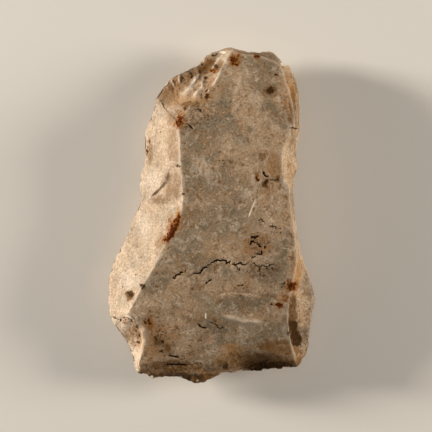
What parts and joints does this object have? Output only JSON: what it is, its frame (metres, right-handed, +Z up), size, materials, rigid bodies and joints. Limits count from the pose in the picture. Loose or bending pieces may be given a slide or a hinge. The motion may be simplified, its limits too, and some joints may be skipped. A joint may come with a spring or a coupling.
{
  "type": "flint chisel",
  "caption": "Hand-struck flint chisel with a waisted body, a flared cutting edge and a blunt butt, lying on its plain underside.",
  "frame": {"origin": "on the resting face, under the middle of the stone's length and width", "axes": "+Y from the flared cutting edge to the butt, +Z up out of the worked face, +X to the right as seen from above"},
  "size_m": [0.0645, 0.1049, 0.022],
  "materials": {
    "flint": "patinated, weathered, satin"
  },
  "bodies": {
    "root": {"chisel_stone": "flint"}
  },
  "joints": []
}
